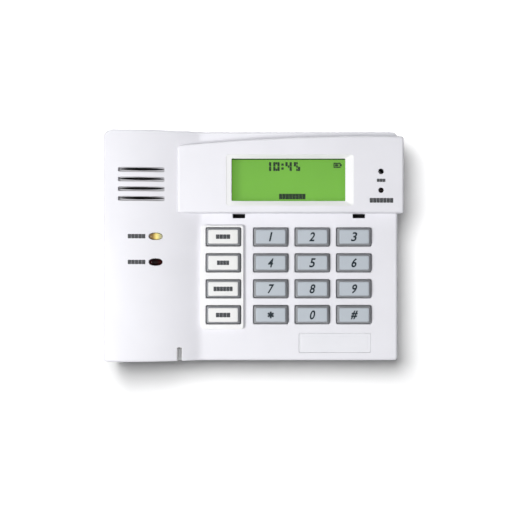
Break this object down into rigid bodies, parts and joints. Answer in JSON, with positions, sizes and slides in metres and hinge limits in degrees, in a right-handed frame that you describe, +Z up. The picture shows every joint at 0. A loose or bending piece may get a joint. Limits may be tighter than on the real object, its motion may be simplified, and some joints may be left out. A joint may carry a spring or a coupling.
{
  "type": "alarm keypad panel",
  "caption": "Wall-mounted alarm keypad with a curved speaker tower, backlit display under a raised surround, number keys, function keys and status lights.",
  "frame": {"origin": "centre of the flat back of the rear case, on the wall plane", "axes": "+X right as the user sees it, +Z up, +Y into the wall, the front faces -Y"},
  "size_m": [0.159, 0.031, 0.1228],
  "materials": {
    "housing": "fine satin texture",
    "rear_housing": "moulded, matt",
    "trim": "satin",
    "digit_keys": "satin, lightly domed",
    "function_keys": "satin, lightly domed",
    "silicone": "matt silicone",
    "window": "clear polished plastic",
    "lcd": "green backlit display",
    "light_guide": "milky acrylic",
    "black_plastic": "moulded",
    "circuit_board": "solder mask",
    "terminal_plastic": "moulded",
    "steel": "zinc plated",
    "cone": "coated paper",
    "foam": "black closed-cell foam",
    "screen": "fine black wire mesh",
    "amber_lens": "lit amber lens",
    "red_lens": "unlit dark red lens",
    "led": "moulded diode"
  },
  "bodies": {
    "housing": {"rear_case": "rear_housing", "front_case": "housing", "display_bezel": "housing", "function_key_surround": "trim", "nameplate": "housing", "keymat": "silicone", "display_window": "window", "lcd_frame": "steel", "lcd_panel": "lcd", "lcd_backlight": "light_guide", "lcd_contact_strip": "silicone", "main_board": "circuit_board", "microcontroller": "black_plastic", "voice_chip": "black_plastic", "capacitor": "steel", "terminal_block": "terminal_plastic", "tamper_switch": "black_plastic", "speaker_basket": "steel", "speaker_magnet": "steel", "speaker_cone": "cone", "speaker_gasket": "foam", "speaker_screen": "screen", "speaker_strap": "steel", "power_light_pipe": "amber_lens", "alarm_light_pipe": "red_lens", "message_light_pipe": "red_lens", "power_led": "led", "alarm_led": "led", "message_led": "led", "microphone": "steel", "microphone_boot": "silicone", "board_screw_1": "steel", "terminal_screw_1": "steel", "board_screw_2": "steel", "terminal_screw_2": "steel", "board_screw_3": "steel", "terminal_screw_3": "steel", "board_screw_4": "steel", "terminal_screw_4": "steel", "speaker_screw_1": "steel", "speaker_screw_2": "steel"},
    "key_1_cap": {"key_1": "digit_keys"},
    "key_2_cap": {"key_2": "digit_keys"},
    "key_3_cap": {"key_3": "digit_keys"},
    "key_4_cap": {"key_4": "digit_keys"},
    "key_5_cap": {"key_5": "digit_keys"},
    "key_6_cap": {"key_6": "digit_keys"},
    "key_7_cap": {"key_7": "digit_keys"},
    "key_8_cap": {"key_8": "digit_keys"},
    "key_9_cap": {"key_9": "digit_keys"},
    "key_star_cap": {"key_star": "digit_keys"},
    "key_0_cap": {"key_0": "digit_keys"},
    "key_hash_cap": {"key_hash": "digit_keys"},
    "function_key_1_cap": {"function_key_1": "function_keys"},
    "function_key_2_cap": {"function_key_2": "function_keys"},
    "function_key_3_cap": {"function_key_3": "function_keys"},
    "function_key_4_cap": {"function_key_4": "function_keys"},
    "tamper_pin": {"tamper_plunger": "trim"}
  },
  "joints": [
    {"name": "key_1_press", "type": "slide", "parent": "housing", "child": "key_1_cap", "axis": [0, 1, 0], "range_m": [0, 0.0012], "stiffness_N_per_m": 900},
    {"name": "key_2_press", "type": "slide", "parent": "housing", "child": "key_2_cap", "axis": [0, 1, 0], "range_m": [0, 0.0012], "stiffness_N_per_m": 900},
    {"name": "key_3_press", "type": "slide", "parent": "housing", "child": "key_3_cap", "axis": [0, 1, 0], "range_m": [0, 0.0012], "stiffness_N_per_m": 900},
    {"name": "key_4_press", "type": "slide", "parent": "housing", "child": "key_4_cap", "axis": [0, 1, 0], "range_m": [0, 0.0012], "stiffness_N_per_m": 900},
    {"name": "key_5_press", "type": "slide", "parent": "housing", "child": "key_5_cap", "axis": [0, 1, 0], "range_m": [0, 0.0012], "stiffness_N_per_m": 900},
    {"name": "key_6_press", "type": "slide", "parent": "housing", "child": "key_6_cap", "axis": [0, 1, 0], "range_m": [0, 0.0012], "stiffness_N_per_m": 900},
    {"name": "key_7_press", "type": "slide", "parent": "housing", "child": "key_7_cap", "axis": [0, 1, 0], "range_m": [0, 0.0012], "stiffness_N_per_m": 900},
    {"name": "key_8_press", "type": "slide", "parent": "housing", "child": "key_8_cap", "axis": [0, 1, 0], "range_m": [0, 0.0012], "stiffness_N_per_m": 900},
    {"name": "key_9_press", "type": "slide", "parent": "housing", "child": "key_9_cap", "axis": [0, 1, 0], "range_m": [0, 0.0012], "stiffness_N_per_m": 900},
    {"name": "key_star_press", "type": "slide", "parent": "housing", "child": "key_star_cap", "axis": [0, 1, 0], "range_m": [0, 0.0012], "stiffness_N_per_m": 900},
    {"name": "key_0_press", "type": "slide", "parent": "housing", "child": "key_0_cap", "axis": [0, 1, 0], "range_m": [0, 0.0012], "stiffness_N_per_m": 900},
    {"name": "key_hash_press", "type": "slide", "parent": "housing", "child": "key_hash_cap", "axis": [0, 1, 0], "range_m": [0, 0.0012], "stiffness_N_per_m": 900},
    {"name": "function_key_1_press", "type": "slide", "parent": "housing", "child": "function_key_1_cap", "axis": [0, 1, 0], "range_m": [0, 0.0012], "stiffness_N_per_m": 900},
    {"name": "function_key_2_press", "type": "slide", "parent": "housing", "child": "function_key_2_cap", "axis": [0, 1, 0], "range_m": [0, 0.0012], "stiffness_N_per_m": 900},
    {"name": "function_key_3_press", "type": "slide", "parent": "housing", "child": "function_key_3_cap", "axis": [0, 1, 0], "range_m": [0, 0.0012], "stiffness_N_per_m": 900},
    {"name": "function_key_4_press", "type": "slide", "parent": "housing", "child": "function_key_4_cap", "axis": [0, 1, 0], "range_m": [0, 0.0012], "stiffness_N_per_m": 900},
    {"name": "tamper_plunger_press", "type": "slide", "parent": "housing", "child": "tamper_pin", "axis": [0, -1, 0], "range_m": [0, 0.001], "stiffness_N_per_m": 300}
  ]
}
